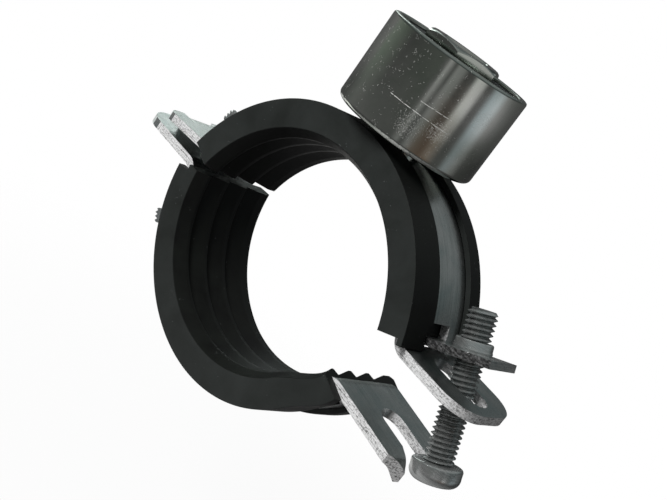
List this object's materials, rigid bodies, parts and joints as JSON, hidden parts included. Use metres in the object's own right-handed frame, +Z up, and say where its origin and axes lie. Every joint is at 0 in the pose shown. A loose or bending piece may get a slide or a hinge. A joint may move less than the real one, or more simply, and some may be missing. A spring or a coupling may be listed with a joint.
{
  "type": "pipe bracket",
  "caption": "Hinged two-half steel pipe clamp with ribbed rubber lining, a screw closure in a slotted flange and a round boss for a threaded rod.",
  "frame": {"origin": "centre of the mouth of the boss nut's thread, on the axis of the hanging rod", "axes": "+Z up along the rod, +X from the hinge towards the clamp screw, Y along the pipe with -Y the front"},
  "size_m": [0.1176, 0.0324, 0.0887],
  "materials": {
    "zinc_steel": "bright zinc plated, slightly matt",
    "bright_steel": "turned bright, fine scratches",
    "lining_rubber": "matt black rubber"
  },
  "bodies": {
    "upper_half": {"upper_band": "zinc_steel", "upper_lining": "lining_rubber", "boss_cup": "bright_steel", "boss_damper": "lining_rubber", "boss_nut": "bright_steel"},
    "lower_half": {"lower_band": "zinc_steel", "lower_lining": "lining_rubber"},
    "nut_plate": {"nut_plate": "zinc_steel"},
    "clamp_screw": {"clamp_screw": "zinc_steel"}
  },
  "joints": [
    {"name": "lower_hinge", "type": "hinge", "parent": "upper_half", "child": "lower_half", "pos_m": [-0.0532, 0, -0.0568], "axis": [0, 1, 0], "range_deg": [-4.5, 40]},
    {"name": "plate_swing", "type": "hinge", "parent": "upper_half", "child": "nut_plate", "pos_m": [0.0349, 0, -0.047], "axis": [0, -1, 0], "range_deg": [-1.5, 8]},
    {"name": "screw_travel", "type": "slide", "parent": "nut_plate", "child": "clamp_screw", "axis": [-0.4067, 0, 0.9135], "range_m": [-0.006, 0.001]}
  ]
}
